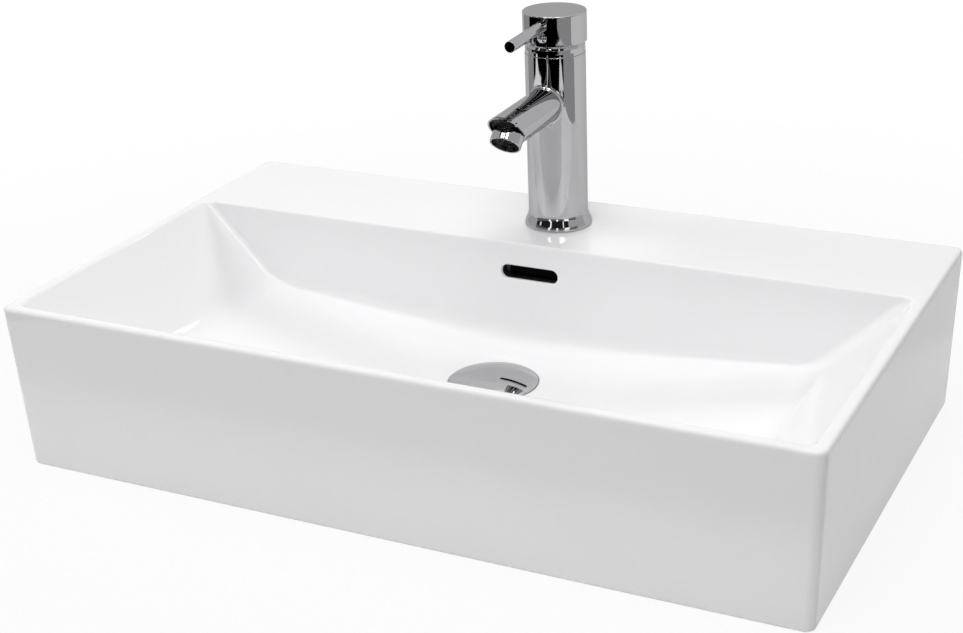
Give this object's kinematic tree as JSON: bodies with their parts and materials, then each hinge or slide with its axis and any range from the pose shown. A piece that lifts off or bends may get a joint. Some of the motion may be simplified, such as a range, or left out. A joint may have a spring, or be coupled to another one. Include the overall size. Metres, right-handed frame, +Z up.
{
  "type": "countertop basin",
  "caption": "Rectangular glazed countertop basin with a rear ledge, a single-lever mixer tap, an overflow slot and a push-to-open domed waste.",
  "frame": {"origin": "middle of the basin's foot, on the surface it stands on", "axes": "+Z up, -Y towards the user, +X to the user's right"},
  "size_m": [0.5998, 0.3549, 0.2917],
  "materials": {
    "glazed_china": "smooth white glaze on vitreous china",
    "chrome_plate": "bright chrome plate on brass",
    "black_rubber": "moulded, matt",
    "cream_acetal": "moulded, satin",
    "grey_acetal": "moulded, satin",
    "white_alumina": "lapped flat",
    "plain_brass": "turned",
    "stainless_steel": "turned and pressed"
  },
  "bodies": {
    "fixed": {"basin": "glazed_china", "tap_body": "chrome_plate", "base_gasket": "black_rubber", "cartridge_housing": "cream_acetal", "cartridge_base": "cream_acetal", "cartridge_seals": "black_rubber", "fixed_disc": "white_alumina", "cartridge_nut": "plain_brass", "dome_ring": "chrome_plate", "aerator_housing": "chrome_plate", "aerator_insert": "grey_acetal", "aerator_washer": "black_rubber", "fixing_stud": "stainless_steel", "horseshoe_gasket": "black_rubber", "horseshoe_plate": "stainless_steel", "fixing_nut": "plain_brass", "waste_body": "chrome_plate", "waste_flange_seal": "black_rubber", "click_cartridge": "plain_brass", "click_spring": "stainless_steel", "waste_lower_washer": "black_rubber", "waste_backnut": "plain_brass"},
    "rotor": {"cartridge_rotor": "cream_acetal", "stem_pin": "stainless_steel"},
    "handle": {"handle_cap": "chrome_plate", "lever_rod": "chrome_plate", "grub_screw": "stainless_steel", "index_plug": "chrome_plate", "cartridge_stem": "plain_brass"},
    "disc": {"moving_disc": "white_alumina", "disc_carrier": "cream_acetal"},
    "plug": {"waste_cap": "chrome_plate", "waste_cap_seal": "black_rubber", "waste_stem": "plain_brass"}
  },
  "joints": [
    {"name": "handle_turn", "type": "hinge", "parent": "fixed", "child": "rotor", "pos_m": [0, 0.123, 0.2565], "axis": [0, 0, 1], "range_deg": [-50, 50]},
    {"name": "handle_lift", "type": "hinge", "parent": "rotor", "child": "handle", "pos_m": [0, 0.123, 0.2565], "axis": [-1, 0, 0], "range_deg": [0, 25]},
    {"name": "disc_slide", "type": "slide", "parent": "rotor", "child": "disc", "axis": [0, -1, 0], "range_m": [0, 0.00284]},
    {"name": "plug_lift", "type": "slide", "parent": "fixed", "child": "plug", "axis": [0, 0, 1], "range_m": [0, 0.0085], "deforming": ["click_spring"]}
  ],
  "couplings": [
    {"joint": "disc_slide", "follows": "handle_lift", "m_per_rad": 0.0065}
  ]
}
